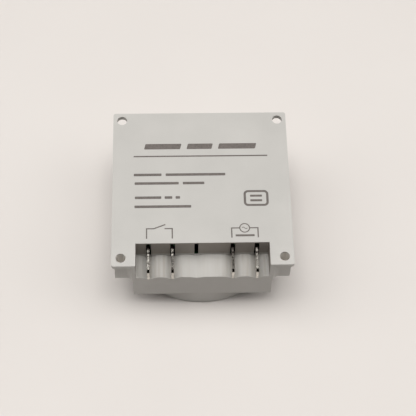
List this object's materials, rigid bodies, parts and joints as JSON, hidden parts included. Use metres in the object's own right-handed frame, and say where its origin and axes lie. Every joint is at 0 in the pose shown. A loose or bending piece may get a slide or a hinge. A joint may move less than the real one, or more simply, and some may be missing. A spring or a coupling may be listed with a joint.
{
  "type": "panel mounted time switch",
  "caption": "Square panel-mounted digital weekly time switch with a round bezel, hinged clear lid, keypad and rear push-on tabs in a recessed bay.",
  "frame": {"origin": "centre of the round bezel, in the plane of its rim, on which the part lies face down", "axes": "+Z from the bezel's rim to the rear face of the square flange; -Y to the terminal side; +Y to the lid's hinge; +X to the right seen from the terminal side with the rear face up"},
  "size_m": [0.06, 0.0608, 0.028],
  "materials": {
    "housing_plastic": "fine spark-eroded texture",
    "clear_plastic": "clear, polished",
    "overlay_film": "satin printed film",
    "steel": "plated",
    "tinned_brass": "tin plated",
    "brass": "plain",
    "board": "solder resist",
    "black_plastic": "moulded",
    "lcd": "reflective display",
    "elastomer": "plain",
    "key_slate": "moulded",
    "key_yellow": "moulded",
    "key_red": "moulded",
    "key_dark": "moulded",
    "plunger_plastic": "moulded",
    "led_red": "tinted clear",
    "capacitor_sleeve": "shrink sleeve",
    "film_dip": "epoxy dip",
    "relay_blue": "moulded",
    "bobbin_plastic": "moulded",
    "copper_wire": "enamelled copper"
  },
  "bodies": {
    "housing": {"rear_cover": "housing_plastic", "front_housing": "housing_plastic", "face_overlay": "overlay_film", "display_window": "clear_plastic", "lid_hinge_pin": "steel", "lcd_glass": "lcd", "lcd_frame": "black_plastic", "zebra_strip": "elastomer", "logic_board": "board", "processor_chip": "black_plastic", "quartz_crystal": "steel", "backup_battery": "steel", "indicator_led": "led_red", "board_link": "black_plastic", "logic_screw_1": "steel", "logic_screw_2": "steel", "program_switch": "black_plastic", "day_switch": "black_plastic", "hour_switch": "black_plastic", "minute_switch": "black_plastic", "clock_switch": "black_plastic", "manual_switch": "black_plastic", "reset_switch": "black_plastic", "power_board": "board", "power_screw_1": "steel", "power_screw_2": "steel", "terminal_tab_1": "tinned_brass", "terminal_tab_2": "tinned_brass", "terminal_tab_3": "tinned_brass", "terminal_tab_4": "tinned_brass", "electrolytic_capacitor": "capacitor_sleeve", "film_capacitor": "film_dip", "bridge_rectifier": "black_plastic", "driver_transistor": "black_plastic", "relay_base": "black_plastic", "relay_cover": "relay_blue", "relay_bobbin": "bobbin_plastic", "relay_winding": "copper_wire", "relay_core": "steel", "relay_yoke": "steel", "relay_fixed_contact": "brass"},
    "lid": {"clear_lid": "clear_plastic"},
    "program_button": {"program_key": "key_slate", "program_plunger": "plunger_plastic"},
    "day_button": {"day_key": "key_slate", "day_plunger": "plunger_plastic"},
    "hour_button": {"hour_key": "key_slate", "hour_plunger": "plunger_plastic"},
    "minute_button": {"minute_key": "key_slate", "minute_plunger": "plunger_plastic"},
    "clock_button": {"clock_key": "key_yellow", "clock_plunger": "plunger_plastic"},
    "manual_button": {"manual_key": "key_red", "manual_plunger": "plunger_plastic"},
    "reset_button": {"reset_key": "key_dark", "reset_plunger": "plunger_plastic"},
    "armature": {"relay_armature": "steel", "relay_moving_contact": "brass"}
  },
  "joints": [
    {"name": "lid_hinge", "type": "hinge", "parent": "housing", "child": "lid", "pos_m": [0, 0.0256, 0.00175], "axis": [1, 0, 0], "range_deg": [0, 110]},
    {"name": "program_press", "type": "slide", "parent": "housing", "child": "program_button", "axis": [0, 0, 1], "range_m": [0, 0.00045], "stiffness_N_per_m": 1500, "springref_m": -0.0001},
    {"name": "day_press", "type": "slide", "parent": "housing", "child": "day_button", "axis": [0, 0, 1], "range_m": [0, 0.00045], "stiffness_N_per_m": 1500, "springref_m": -0.0001},
    {"name": "hour_press", "type": "slide", "parent": "housing", "child": "hour_button", "axis": [0, 0, 1], "range_m": [0, 0.00045], "stiffness_N_per_m": 1500, "springref_m": -0.0001},
    {"name": "minute_press", "type": "slide", "parent": "housing", "child": "minute_button", "axis": [0, 0, 1], "range_m": [0, 0.00045], "stiffness_N_per_m": 1500, "springref_m": -0.0001},
    {"name": "clock_press", "type": "slide", "parent": "housing", "child": "clock_button", "axis": [0, 0, 1], "range_m": [0, 0.00045], "stiffness_N_per_m": 1500, "springref_m": -0.0001},
    {"name": "manual_press", "type": "slide", "parent": "housing", "child": "manual_button", "axis": [0, 0, 1], "range_m": [0, 0.00045], "stiffness_N_per_m": 1500, "springref_m": -0.0001},
    {"name": "reset_press", "type": "slide", "parent": "housing", "child": "reset_button", "axis": [0, 0, 1], "range_m": [0, 0.00045], "stiffness_N_per_m": 1500, "springref_m": -0.0001},
    {"name": "armature_pivot", "type": "hinge", "parent": "housing", "child": "armature", "pos_m": [-0.0063, -0.0083, 0.013], "axis": [0, 1, 0], "range_deg": [0, 2.5], "stiffness_Nm_per_rad": 0.02, "springref_deg": -2.86}
  ]
}
